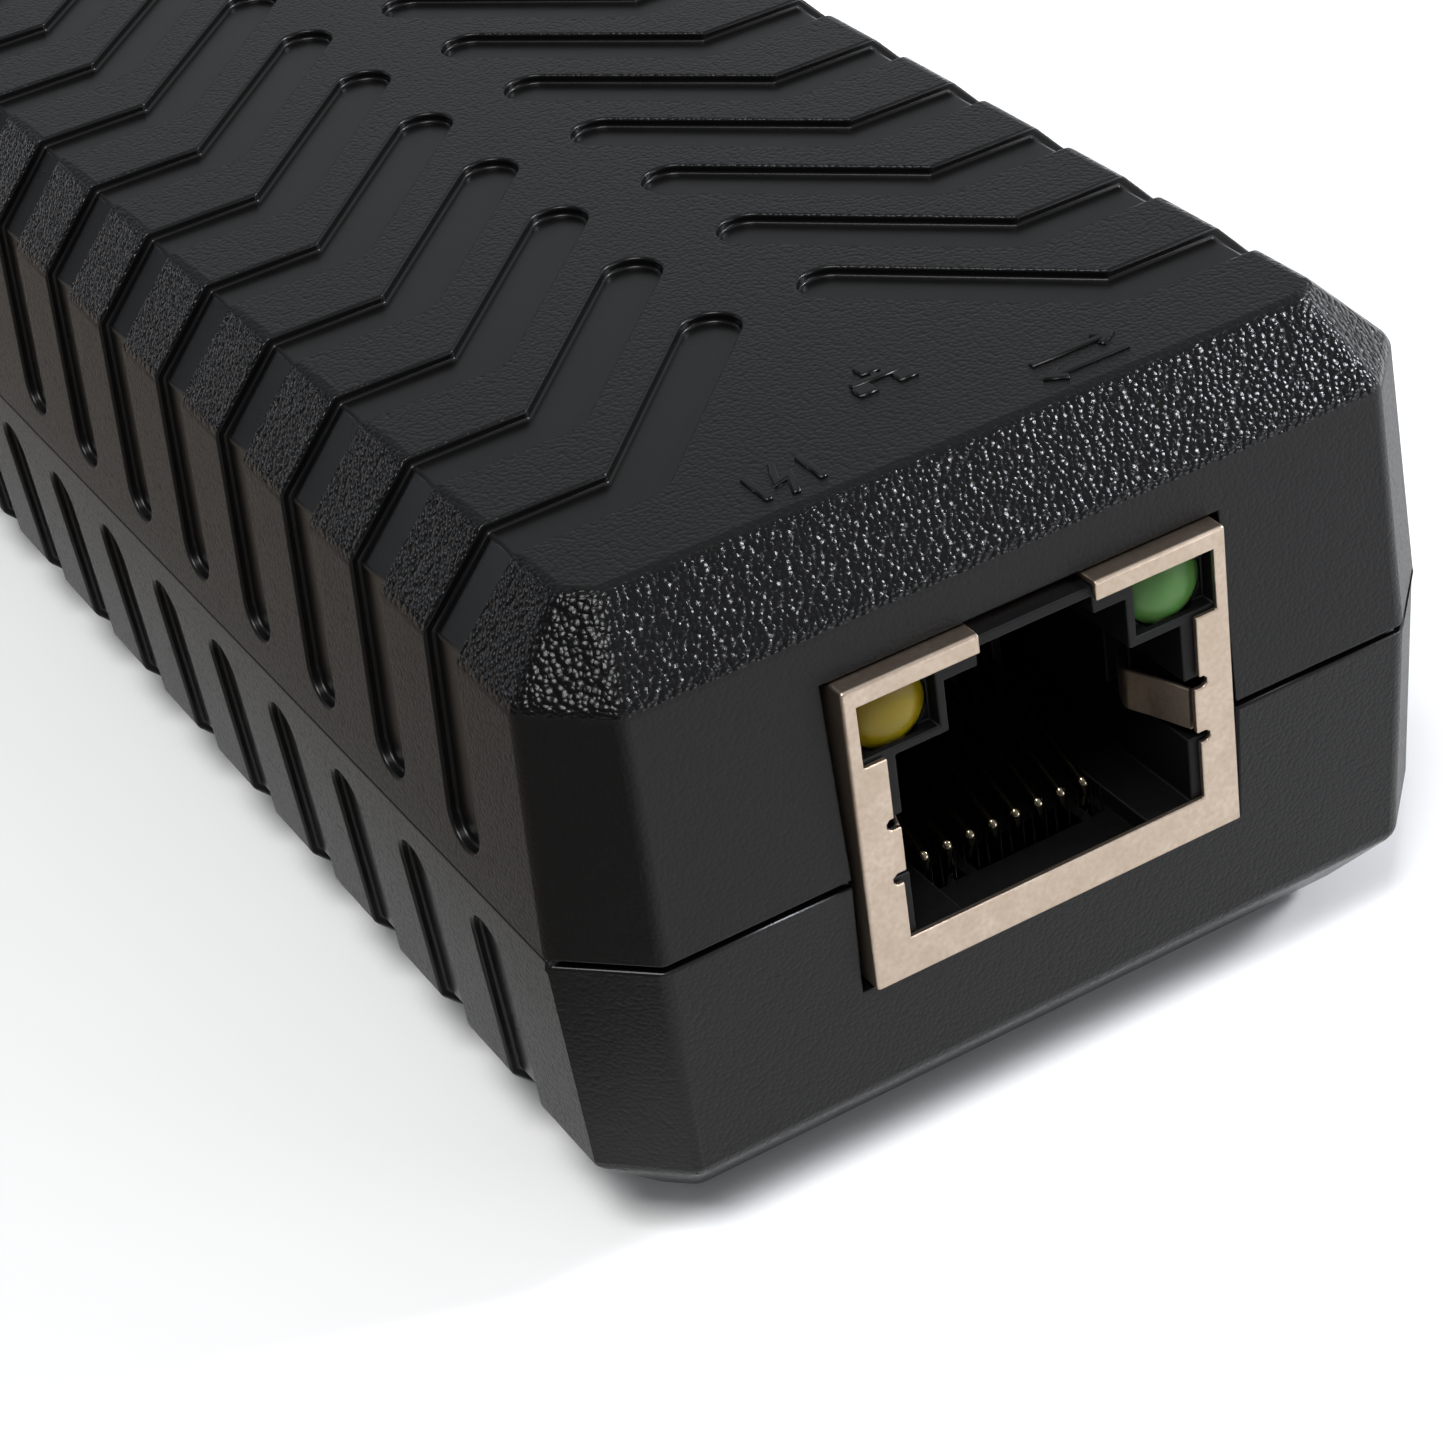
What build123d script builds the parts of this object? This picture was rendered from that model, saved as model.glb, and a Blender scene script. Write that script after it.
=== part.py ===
from build123d import *
import os
from math import cos, radians, sin, sqrt, tan

os.makedirs("parts", exist_ok=True)

# Frame: X across, Y along the case (the powered socket is at -Y), Z up, origin under the
# centre of the case on the surface it stands on. All sizes are in millimetres.

# ---- case ----
case_length = 104.0
case_width = 38.3            # at the parting line
corner_cut = 3.05            # 45 degree facets at the four upright corners
top_height = 13.2            # parting line up to the top face
base_height = 13.1           # parting line down to the underside
edge_drop = 3.1              # height of the sloping facet round the top and the underside
edge_inset = 2.85            # how far that facet runs in
top_draft = 0.060            # side slope of the top shell, mm in per mm up
base_draft = 0.048
wall = 1.8
lip_height = 1.4             # tongue that stands out of the base into the top
lip_thick = 0.8
lip_gap = 0.08
reveal = 0.30                # open line between the shells at the two ends
reveal_depth = 0.45

# ---- herringbone channels ----
channel_wide = 2.4
channel_deep = 0.40
row_pitch = 6.0
row_start = 9.95             # end of the case to the far edge of the first channel
row_end = 7.6                # least distance from the last tip to the other end
bend_out = 10.7              # centre line of the case to the bend
bend_angle = 46.0
bend_round = 2.0
tip_out = 2.6                # centre line of the case to the centre of the round tip
side_end_top = 2.7           # parting line to the centre of the round end, top shell
side_end_base = 2.9
base_run = 0.6               # how far a channel runs in under the case

# ---- modular sockets ----
jack_wide = 16.2
jack_tall = 12.9
jack_long = 21.3
jack_sheet = 0.25
jack_round = 0.16
jack_proud = 0.30            # face of the shield in front of the case end
jack_side_gap = 0.30         # shield to case opening, at the sides
jack_top_gap = 0.08
jack_seat_gap = 0.30         # under the shield, outside the locating rib
seat_half = 6.5
cavity_half = 6.1            # half width of the plug cavity
cavity_floor = 1.55          # all jack heights are measured from the circuit board
cavity_roof = 9.35
cavity_deep = 13.0
latch_half = 3.85
latch_roof = 11.45
latch_slot_half = 2.45
latch_slot_roof = 12.2
window_floor = 1.65          # cut-out in the face of the shield
window_half_low = 6.5
window_half_high = 6.6
led_window_floor = 9.55
led_window_half = 7.55
top_border = 0.78
finger_half = 6.35
finger_low = 4.62
finger_high = 6.52
finger_sheet = 0.2
finger_notch = 0.48          # relief cut above and below each finger's root
led_out = 5.9                # centre line of the jack to the lamp axis
led_high = 10.88
led_radius = 1.55
led_front = 0.32             # shield face to the tip of the lens
led_back = 5.0               # shield face to the back of the lamp
led_bow = 0.60               # how far the lens bulges
led_gap = 0.06
led_sill = 9.70              # lip in front of the lamp
led_lip = 0.35
led_lead_radius = 0.25
led_lead_out = 0.9
contact_pitch = 1.02
contact_count = 8
contact_radius = 0.21
contact_bend_in = 3.65       # shield face to the front bend of the wires
contact_bend_high = 1.60
contact_rise = 22.0          # slope of the free wires, degrees
contact_reach = 9.0
contact_gap = 0.03
comb_slot = 0.56

peg_places = (8.3, 14.4)     # shield face to each solder peg
peg_half = 0.8
hole_gap = 0.15

# ---- power socket ----
dc_wide = 9.0
dc_tall = 11.0
dc_long = 14.2
dc_bore = 3.2                # radius
dc_bore_deep = 9.6
dc_axis_high = 6.5
dc_pin_radius = 1.05
dc_pin_long = 8.6
dc_face_in = 0.9             # case end to the socket face
dc_hole = 3.9                # radius of the opening in the case
in_jack_x = 6.6
dc_jack_x = -7.6

# ---- board and fixings ----
board_thick = 1.6
board_drop = 4.95            # parting line to the top of the board
board_edge_gap = 0.5
board_end_gap = 0.6
post_x = 11.6
post_front = 5.65            # back of the powered socket to the near posts
post_back = 6.65             # back of the data socket to the far posts
rib_step = 9.0               # posts to the board's outer ribs
post_radius = 2.7
screw_radius = 1.1
screw_long = 12.0
screw_head_radius = 2.1
screw_head_tall = 1.4
screw_gap = 0.15
foot_radius = 3.0
foot_stand = 0.8
foot_recess = 0.5
foot_gap = 0.05
foot_x = 8.0
foot_end = 10.0
label_wide = 22.0
label_long = 40.0
label_thick = 0.12
label_recess = 0.35
label_gap = 0.4
fit = 0.02                   # faces that touch without pressing

# ---- heights and places worked out from the sizes above ----
underside = foot_stand
parting = underside + base_height
top_face = parting + top_height
top_knee = top_face - edge_drop
base_knee = underside + edge_drop
top_inset = top_draft * (top_height - edge_drop)
base_inset = base_draft * (base_height - edge_drop)
board_top = parting - board_drop
board_low = board_top - board_thick
front = -case_length / 2
back = case_length / 2
bay_front = front - jack_proud + jack_long   # room between the two modular sockets
bay_back = back + jack_proud - jack_long
ceiling = top_face - wall
floor = underside + wall


def save(name, shape):
    """Writes one sub-part, whose file name is its node name."""
    solids = shape.solids()
    export_step(solids[0] if len(solids) == 1 else Compound(children=list(solids)), f"parts/{name}.step")


def octagon(inset, z, cut=None):
    """Plan outline of the case, moved in by inset, as a list of corners at height z."""
    hx, hy = case_width / 2 - inset, case_length / 2 - inset
    if cut is None:
        cut = corner_cut - inset * (2 - sqrt(2))
    quarter = [(hx, hy - cut), (hx - cut, hy)]
    corners = quarter + [(-x, y) for x, y in reversed(quarter)]
    corners += [(-x, -y) for x, y in corners]
    return [(x, y, z) for x, y in corners]


def stack(rings):
    """Closed solid through level rings that have the same number of corners."""
    faces = [Face(Wire.make_polygon(ring)) for ring in (rings[0], rings[-1])]
    for low, high in zip(rings, rings[1:]):
        for i in range(len(low)):
            j = (i + 1) % len(low)
            faces.append(Face(Wire.make_polygon([low[i], low[j], high[j], high[i]])))
    return Solid(Shell(faces))


def block(x0, x1, y0, y1, z0, z1):
    """Box between two corners."""
    return Pos((x0 + x1) / 2, (y0 + y1) / 2, (z0 + z1) / 2) * Box(x1 - x0, y1 - y0, z1 - z0)


def rod(x, y, z0, z1, radius):
    """Upright cylinder."""
    return Pos(x, y, (z0 + z1) / 2) * Cylinder(radius, z1 - z0)


def along(x, z, y0, y1, radius):
    """Cylinder along Y."""
    return Pos(x, (y0 + y1) / 2, z) * Rot(90, 0, 0) * Cylinder(radius, y1 - y0)


def wire(points, radius, bends):
    """Round wire through the points, with the given bend radii."""
    path = FilletPolyline(*points, radius=bends)
    return sweep(Plane(origin=path @ 0, z_dir=path % 0) * Circle(radius), path=path)


def front_plate(points, y0, y1):
    """Outline in X and Z, given a thickness from y0 to y1."""
    face = make_face(Polyline(*points, close=True))
    return Pos(0, y1, 0) * Rot(90, 0, 0) * extrude(face, y1 - y0)


def mirrored(shape):
    return mirror(shape, about=Plane.YZ)


# ---- case shells ----
def top_outer(depth=0.0):
    """Outside of the top shell, or the same surface moved in by depth."""
    slope = depth * edge_drop / (edge_drop + edge_inset)
    return stack([
        octagon(depth, parting - (1.0 if depth else 0.0)),
        octagon(top_inset + depth, top_knee - slope),
        octagon(top_inset + edge_inset + slope, top_face - depth),
    ])


def base_outer(depth=0.0):
    slope = depth * edge_drop / (edge_drop + edge_inset)
    return stack([
        octagon(base_inset + edge_inset + slope, underside + depth),
        octagon(base_inset + depth, base_knee + slope),
        octagon(depth, parting + (1.0 if depth else 0.0)),
    ])


def channel_plan(far_edge):
    """Outline of one right-hand channel: in from the side, a bend, a diagonal and a round tip."""
    half = channel_wide / 2
    mitre = tan(radians(bend_angle / 2))
    run = Vector(-cos(radians(bend_angle)), sin(radians(bend_angle)))
    across = Vector(-run.X * tan(radians(bend_angle)), cos(radians(bend_angle)))
    outside = case_width / 2 + 1
    bend = Vector(bend_out - half * mitre, far_edge - half)
    tip = bend + run * ((bend.X - tip_out) / cos(radians(bend_angle)))
    corner = bend + (bend - Vector(bend_out, far_edge))
    tangent = bend_round * mitre
    turn = corner + Vector(tangent, bend_round)
    middle = turn + (corner - turn).normalized() * bend_round
    edges = [
        Line((outside, far_edge), (bend_out, far_edge)),
        Line((bend_out, far_edge), tip + across * half),
        ThreePointArc(tip + across * half, tip + run * half, tip - across * half),
        Line(tip - across * half, corner + run * tangent),
        ThreePointArc(corner + run * tangent, middle, corner + Vector(tangent, 0)),
        Line(corner + Vector(tangent, 0), (outside, far_edge - channel_wide)),
        Line((outside, far_edge - channel_wide), (outside, far_edge)),
    ]
    return make_face(edges)


def channel_rows():
    """Far edges of the channels, in rows that stay clear of the far end's margin."""
    reach = (bend_out - tip_out) * tan(radians(bend_angle))
    room = case_length - row_start - row_end - reach
    return [front + row_start + row_pitch * i for i in range(int(room / row_pitch) + 1)]


def side_slot(far_edge, centre, end):
    """Right-hand channel on the side wall, with a round end at height centre."""
    half = channel_wide / 2
    inner, outer = case_width / 2 - base_inset - edge_inset - 0.5, case_width / 2 + 1
    low, high = min(centre, end), max(centre, end)
    middle = far_edge - half
    cap = Pos((inner + outer) / 2, middle, centre) * Rot(0, 90, 0) * Cylinder(half, outer - inner)
    return block(inner, outer, far_edge - channel_wide, far_edge, low, high) + cap


def make_top_shell():
    plans = [channel_plan(far_edge) for far_edge in channel_rows()]
    cuts = [Pos(0, 0, top_knee - 1) * extrude(plan, edge_drop + 2) for plan in plans]
    cuts += [side_slot(y, parting + side_end_top, top_knee) for y in channel_rows()]
    cuts += [mirrored(cut) for cut in cuts]
    skin = top_outer(channel_deep)
    shell = top_outer()
    for cut in cuts:
        shell -= cut - skin
    shell += top_marks()
    inner_knee = wall * edge_drop / (edge_drop + edge_inset)
    shell -= stack([
        octagon(wall, parting - 1, corner_cut),
        octagon(top_inset + wall, top_knee - inner_knee, corner_cut),
        octagon(top_inset + edge_inset + inner_knee, ceiling, corner_cut),
    ])
    groove = wall - lip_thick - lip_gap
    shell -= stack([
        octagon(groove, parting - 1, corner_cut - 0.3),
        octagon(groove, parting + lip_height + lip_gap, corner_cut - 0.3),
    ])
    for x, y in post_places():
        shell += rod(x, y, parting - 1.0 + fit, ceiling + 0.3, post_radius)
        shell -= rod(x, y, parting - 2.0, ceiling - 1.5, screw_radius + fit)
    for y in rib_places():
        shell += block(-board_half() + 0.4, -board_half() + 1.6, y - 0.6, y + 0.6, board_top + fit, ceiling)
        shell += block(board_half() - 1.6, board_half() - 0.4, y - 0.6, y + 0.6, board_top + fit, ceiling)
    return shell - openings()


def make_bottom_shell():
    rows = channel_rows()
    half = channel_wide / 2
    edge = case_width / 2 - base_inset - edge_inset
    cuts = []
    for far_edge in rows:
        cuts.append(side_slot(far_edge, parting - side_end_base, underside - 1))
        run = block(edge - base_run, edge + 4, far_edge - channel_wide, far_edge, underside - 1, base_knee)
        cuts.append(run + rod(edge - base_run, far_edge - half, underside - 1, base_knee, half))
    cuts += [mirrored(cut) for cut in cuts]
    skin = base_outer(channel_deep)
    shell = base_outer()
    for cut in cuts:
        shell -= cut - skin
    inner_knee = wall * edge_drop / (edge_drop + edge_inset)
    shell -= stack([
        octagon(base_inset + edge_inset + inner_knee, floor, corner_cut),
        octagon(base_inset + wall, base_knee + inner_knee, corner_cut),
        octagon(wall, parting + 1, corner_cut),
    ])
    lip = stack([octagon(wall - lip_thick, parting - 0.6, corner_cut - 0.3),
                 octagon(wall - lip_thick, parting + lip_height, corner_cut - 0.3)])
    lip -= stack([octagon(wall, parting - 1, corner_cut), octagon(wall, parting + 3, corner_cut)])
    shell += lip
    for end in (front, back):
        rim = block(-case_width, case_width, end - corner_cut, end + corner_cut, parting - reveal, parting)
        shell -= rim - stack([octagon(reveal_depth, parting - 1), octagon(reveal_depth, parting + 1)])
    for x, y in post_places():
        shell += rod(x, y, floor - 0.3, parting - 1.0, post_radius)
        shell -= rod(x, y, floor - 1, parting, screw_radius + screw_gap)
        shell -= rod(x, y, underside - 1, screw_seat(), screw_head_radius + screw_gap)
    for y in rib_places():
        shell += block(-board_half() + 0.2, -board_half() + 1.8, y - 1, y + 1, floor - 0.3, board_low)
        shell += block(board_half() - 1.8, board_half() - 0.2, y - 1, y + 1, floor - 0.3, board_low)
    for x, y in foot_places():
        shell -= rod(x, y, underside - 1, underside + foot_recess, foot_radius + foot_gap)
    shell -= Pos(0, label_middle(), 0) * block(-label_wide / 2, label_wide / 2, -label_long / 2,
                                               label_long / 2, underside - 1, underside + label_recess)
    return shell - openings()


def screw_seat():
    """Height of the face under each screw head."""
    return floor + 2.6


def post_places():
    return [(x, y) for x in (-post_x, post_x) for y in (bay_front + post_front, bay_back - post_back)]


def label_middle():
    """Middle of the label in Y, half way between the posts."""
    return (bay_front + post_front + bay_back - post_back) / 2


def rib_places():
    return [bay_front + post_front + rib_step, 0.0, bay_back - post_back - rib_step]


def foot_places():
    return [(x, y) for x in (-foot_x, foot_x) for y in (front + foot_end, back - foot_end)]


def board_half():
    return case_width / 2 - base_draft * board_drop - wall - board_edge_gap


def openings():
    """Cut-outs in both ends of the case for the three sockets."""
    cuts = []
    for x, y0, y1 in ((0.0, front - 1, front + wall + 2), (in_jack_x, back - wall - 2, back + 1)):
        half = jack_wide / 2 + jack_side_gap
        high = board_top + jack_tall + jack_top_gap
        seat = board_top - fit
        cuts.append(block(x - half, x + half, y0, y1, seat, high))
        cuts.append(block(x - half, x - seat_half, y0, y1, board_top - jack_seat_gap, seat))
        cuts.append(block(x + seat_half, x + half, y0, y1, board_top - jack_seat_gap, seat))
    z = board_top + dc_axis_high
    cuts.append(along(dc_jack_x, z, back - wall - 2, back + 1, dc_hole))
    half = dc_wide / 2 + 0.2
    cuts.append(block(dc_jack_x - half, dc_jack_x + half, back - wall - 2, back - dc_face_in,
                      board_top - 0.2, board_top + dc_tall + 0.2))
    return Compound(children=cuts)


# ---- raised marks on the top face ----
mark_height = 0.12
mark_line = 0.30
mark_tall = 2.2
mark_in = 5.35               # case end to the middle of the two outer marks
mark_out = 6.2
mark_mid_in = 9.1


def stroke(points):
    """Thin raised line through the points."""
    return trace(Polyline(*points), line_width=mark_line)


def bolt_mark(x, y):
    """Lightning flash between two bars, for power."""
    half = mark_tall / 2
    flash = stroke([(x + 0.15, y + half), (x - 0.35, y - 0.1), (x + 0.3, y + 0.1), (x - 0.15, y - half)])
    bars = [stroke([(x + s * 1.1, y + half * 0.8), (x + s * 1.1, y - half * 0.8)]) for s in (-1, 1)]
    return flash + bars[0] + bars[1]


def tree_mark(x, y):
    """One box over two boxes, for a network."""
    size, half = 0.8, mark_tall / 2
    mark = stroke([(x, y + half - size), (x, y)]) + stroke([(x - 1.1, y), (x + 1.1, y)])
    for bx, by in ((x, y + half - size / 2), (x - 0.85, y - 0.55), (x + 0.85, y - 0.55)):
        mark += Pos(bx, by) * Rectangle(size, size * 0.8)
    return mark


def arrows_mark(x, y):
    """Two arrows that point opposite ways, for traffic."""
    mark = Sketch()
    for side in (-1, 1):
        level, head = y + side * mark_tall * 0.26, x + side * 1.7
        mark += stroke([(x - side * 1.7, level), (head, level)])
        mark += stroke([(head - side * 0.6, level + 0.4), (head, level), (head - side * 0.6, level - 0.4)])
    return mark


def top_marks():
    """Generic marks beside each lamp and in the middle, at both ends where they apply."""
    flat = bolt_mark(-mark_out, front + mark_in) + arrows_mark(mark_out, front + mark_in)
    flat += tree_mark(0.0, front + mark_mid_in)
    return Pos(0, 0, top_face - 0.1) * extrude(flat, mark_height + 0.1)


# ---- modular socket, built with its face at y = 0 and the board at z = 0 ----
def jack_shield(lamps):
    """Folded sheet round the socket, with cut-outs for the plug, its latch and any lamps."""
    half = jack_wide / 2
    body = block(-half, half, 0, jack_long, 0, jack_tall)
    rounded = body.edges().filter_by(Axis.Z) + body.edges().filter_by(Axis.Y).sort_by(Axis.Z)[-2:]
    rounded += body.edges().filter_by(Axis.X).sort_by(Axis.Z)[-2:]
    body = fillet(rounded, jack_round)
    body -= block(-half + jack_sheet, half - jack_sheet, jack_sheet, jack_long - jack_sheet,
                  -1, jack_tall - jack_sheet)
    border, notch = jack_tall - top_border, finger_notch
    right = [
        (0, window_floor), (window_half_low, window_floor),
        (window_half_low, finger_low - notch), (window_half_low + notch * 0.6, finger_low - notch),
        (window_half_low + notch * 0.9, finger_low - notch * 0.7),
        (window_half_low + notch * 0.9, finger_low - notch * 0.3),
        (window_half_low + notch * 0.5, finger_low), (finger_half, finger_low),
        (finger_half, finger_high), (window_half_low + notch * 0.5, finger_high),
        (window_half_low + notch * 0.9, finger_high + notch * 0.3),
        (window_half_low + notch * 0.9, finger_high + notch * 0.7),
        (window_half_low + notch * 0.6, finger_high + notch), (window_half_high, finger_high + notch),
        (window_half_high, led_window_floor),
    ]
    if lamps:
        right += [(led_window_half, led_window_floor), (led_window_half, border), (latch_slot_half, border)]
    else:
        right += [(latch_half, led_window_floor), (latch_half, latch_roof), (latch_slot_half, latch_roof)]
    right += [(latch_slot_half, jack_tall + 1), (0, jack_tall + 1)]
    window = front_plate(right, -1, jack_sheet + 0.01)
    body -= window + mirrored(window)
    body -= block(-latch_slot_half, latch_slot_half, -1, 1.3, jack_tall - jack_sheet - 0.1, jack_tall + 1)
    for side in (-1, 1):
        x = side * (half - jack_sheet / 2)
        for y in peg_places:
            body += block(x - jack_sheet / 2, x + jack_sheet / 2, y - peg_half, y + peg_half,
                          -board_thick - 1.2, 0.5)
    return body


def jack_insulator(lamps):
    """Moulded core with the plug cavity, the comb for the wires and any lamp bores."""
    half = jack_wide / 2 - jack_sheet - 0.05
    face = jack_sheet + fit
    end = jack_long - 1.4
    top = jack_tall - jack_sheet - fit
    body = block(-half, half, face, end, 0.02, top)
    body -= block(-cavity_half, cavity_half, -1, cavity_deep, cavity_floor, cavity_roof)
    body -= block(-latch_half, latch_half, -1, cavity_deep, cavity_roof - 1, latch_roof)
    body -= block(-latch_slot_half, latch_slot_half, -1, cavity_deep - 2, latch_roof - 1, latch_slot_roof)
    comb = contact_pitch * contact_count / 2
    body -= block(-comb, comb, -1, cavity_deep, 0.75, cavity_floor + 1)
    for side in (-1, 1):
        x = side * led_out
        if lamps:
            body -= along(x, led_high, face + led_lip, led_back + 2, led_radius + led_gap)
            reach = led_window_half - led_out + 0.05
            body -= block(x - reach, x + reach, -1, face + led_lip + 0.3, led_sill, top - 0.25)
            body -= block(x - 1.3, x + 1.3, led_back, end + 1, led_high - 0.4, led_high + 0.4)
        wall_x = sorted((side * (cavity_half - 1), side * (cavity_half + 1.1)))
        body -= block(*wall_x, -1, 5.4, finger_low - 0.35, finger_high + 0.35)
    for i in range(contact_count + 1):
        x = (i - contact_count / 2) * contact_pitch
        rib = (contact_pitch - comb_slot) / 2
        body += block(x - rib, x + rib, cavity_deep - 3.2, cavity_deep + 0.5, 0.7, 6.2)
        body += block(x - rib, x + rib, contact_bend_in + 0.6, cavity_deep, 0.7, 1.05)
    half, level = contact_radius + 0.05, contact_run_high()
    for x in contact_places():
        body -= along(x, level, contact_bend_in - 1, end + 1, half)
        body -= block(x - half, x + half, contact_bend_in - 1, end + 1, -1, level)
        body -= block(x - half, x + half, contact_bend_in - 0.8, contact_bend_in + 0.5, level, level + 1)
    return body


def contact_places():
    return [(i - (contact_count - 1) / 2) * contact_pitch for i in range(contact_count)]


def contact_pin(i):
    """Shield face to the solder pin of wire i: the pins stand in two staggered rows."""
    return jack_long - 3.2 - (2.0 if i % 2 else 0.0)


def contact_run_high():
    """Height of the fixed wires that run forward under the plug."""
    return 0.40


def contact_hinge():
    """Place of the springs' hinge in Y and Z: the foot of the front bend."""
    return contact_bend_in, contact_bend_high - 0.30


def contact_springs():
    """Eight free wires that rise backwards from their front bend."""
    y, z = contact_hinge()
    back_y = y + contact_reach * cos(radians(contact_rise))
    back_z = z + 0.45 + contact_reach * sin(radians(contact_rise))
    springs = [wire([(x, y, z + contact_gap), (x, y, z + 0.45), (x, back_y, back_z)], contact_radius, [0.24])
               for x in contact_places()]
    return Compound(children=springs)


def contact_tails():
    """Eight fixed wires: solder pin, run under the plug, and the upright at the front."""
    y, z = contact_hinge()
    level = contact_run_high()
    tails = []
    for i, x in enumerate(contact_places()):
        pin = contact_pin(i)
        points = [(x, pin, -board_thick - 1.2), (x, pin, level), (x, y, level), (x, y, z)]
        tails.append(wire(points, contact_radius, [0.35, 0.3]))
    return Compound(children=tails)


def ground_finger():
    """Right-hand strip folded in from the shield's cut-out, which touches a screened plug."""
    path = FilletPolyline(finger_hinge(), (5.75, 2.1), (5.35, 3.05), (5.75, 3.9), radius=[1.6, 0.5])
    strip = extrude(trace(path, line_width=finger_sheet), finger_high - finger_low - 0.1)
    return Pos(0, 0, finger_low + 0.05) * strip


def finger_hinge():
    """Hinge of the right-hand finger in X and Y."""
    return finger_half + fit, jack_sheet + 0.1


def led_lamp(side):
    """Round lamp that lies along Y, with a bowed face and a square back."""
    x = side * led_out
    ball = (led_radius ** 2 + led_bow ** 2) / (2 * led_bow)
    barrel = along(x, led_high, led_front, led_back, led_radius)
    lens = Pos(x, led_front + ball, led_high) * Sphere(ball)
    return barrel & (lens + along(x, led_high, led_front + led_bow, led_back + 1, led_radius))


def led_leads(side):
    """Two leads that run back over the insulator and down behind it to the board."""
    drop = led_drop()
    ends = [side * led_out + dx for dx in (-led_lead_out, led_lead_out)]
    return [wire([(x, led_back + fit, led_high), (x, drop, led_high), (x, drop, -board_thick - 1.2)],
                 led_lead_radius, [0.4]) for x in ends]


def led_drop():
    """Place in Y where the lamps' leads go down, between the insulator and the shield."""
    return jack_long - 0.75


def board_holes(place, lamps):
    """Holes in the board for one modular socket's pins, as round drills and slots."""
    holes = [rod(x, contact_pin(i), -3, 1, contact_radius + hole_gap) for i, x in enumerate(contact_places())]
    for side in (-1, 1):
        x = side * (jack_wide - jack_sheet) / 2
        half, long = jack_sheet / 2 + hole_gap, peg_half + hole_gap
        holes += [block(x - half, x + half, y - long, y + long, -3, 1) for y in peg_places]
        if lamps:
            holes += [rod(side * led_out + dx, led_drop(), -3, 1, led_lead_radius + hole_gap)
                      for dx in (-led_lead_out, led_lead_out)]
    return [place * hole for hole in holes]


# ---- power socket, built with its face at y = 0 and the board at z = 0 ----
def dc_body():
    body = block(-dc_wide / 2, dc_wide / 2, 0, dc_long, 0, dc_tall)
    body = fillet(body.edges().filter_by(Axis.Y).sort_by(Axis.Z)[-2:], 1.0)
    body -= along(0, dc_axis_high, -1, dc_bore_deep, dc_bore)
    body = chamfer(body.edges().filter_by(GeomType.CIRCLE).sort_by(Axis.Y)[0], 0.35)
    body -= along(0, dc_axis_high, dc_bore_deep - 1, dc_long + 1, dc_pin_radius + fit)
    body -= block(-1.25, 1.25, 2.4, dc_long - 1.2, -1, dc_axis_high - dc_bore + 0.6)
    return body


def dc_pin():
    """Centre pin with a round nose, staked through the back of the socket."""
    start = dc_bore_deep - dc_pin_long
    pin = along(0, dc_axis_high, start, dc_long + 0.3, dc_pin_radius)
    return fillet(pin.edges().sort_by(Axis.Y)[0], dc_pin_radius * 0.6)


def dc_leaf():
    """Sprung strip that presses on the plug's sleeve from below."""
    z = dc_axis_high - dc_bore
    root_y, root_z = dc_hinge()
    path = FilletPolyline((root_y, root_z), (5.7, z + 0.7), (4.6, z + 0.7), (3.2, z - 0.3), radius=[1.5, 0.8])
    strip = extrude(trace(path, line_width=0.25), 2.0)
    return Pos(-1.0, 0, 0) * (Plane.YZ * strip)


def dc_hinge():
    """Hinge of the leaf in Y and Z."""
    return 8.6, dc_axis_high - dc_bore - 0.45


def dc_terminals():
    """Three flat solder tabs: centre pin, leaf and switch."""
    z = dc_axis_high - dc_bore
    tabs = [block(-1.2, 1.2, dc_long + 0.02, dc_long + 0.32, -board_thick - 1.5, dc_axis_high - 1.2)]
    leaf = block(-1.0, 1.0, 8.9, 9.2, -board_thick - 1.5, z - 0.3)
    side = block(dc_wide / 2 + 0.02, dc_wide / 2 + 0.32, 8.0, 10.2, -board_thick - 1.5, 3.0)
    return Compound(children=tabs + [leaf, side])


def dc_board_holes(place):
    holes = [block(-1.5, 1.5, dc_long - 0.3, dc_long + 0.7, -3, 1), block(-1.4, 1.4, 8.55, 9.55, -3, 1),
             block(dc_wide / 2 - 0.3, dc_wide / 2 + 0.7, 7.6, 10.6, -3, 1)]
    return [place * hole for hole in holes]


# ---- things on the board ----
def on_board(x, y, turn=0):
    return Pos(x, y, board_top) * Rot(0, 0, turn)


def gull_leads(count, pitch, body_half, span):
    """Two rows of flat bent leads beside a chip or transformer body."""
    leads = []
    for i in range(count):
        x = (i - (count - 1) / 2) * pitch
        path = FilletPolyline((body_half + 0.01, 0.9), (body_half + span * 0.35, 0.9),
                              (body_half + span * 0.55, 0.1), (body_half + span, 0.1), radius=[0.12, 0.12])
        strip = extrude(trace(path, line_width=0.2), pitch * 0.36)
        lead = Pos(x - pitch * 0.18, 0, 0) * (Plane.YZ * strip)
        leads += [lead, mirror(lead, about=Plane.XZ)]
    return leads


def molded_body(length, width, low, high):
    """Moulded package with bevelled upper edges."""
    body = block(-length / 2, length / 2, -width / 2, width / 2, low, high)
    return chamfer(body.faces().sort_by(Axis.Z)[-1].edges(), min(0.3, (high - low) / 4))


def chip_box(length, width, height):
    return block(-length / 2, length / 2, -width / 2, width / 2, 0.0, height)


magnet_places = [(0.0, bay_front + 9.65), (0.0, bay_front + 25.15)]
choke_place = (8.2, bay_front + 39.15)
can_places = [(-8.6, bay_front + 41.65), (-3.6, bay_front + 51.65)]
chip_place = (9.0, bay_front + 48.15)
can_radius = 5.0
can_tall = 12.5
can_sleeve = 0.15


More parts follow.
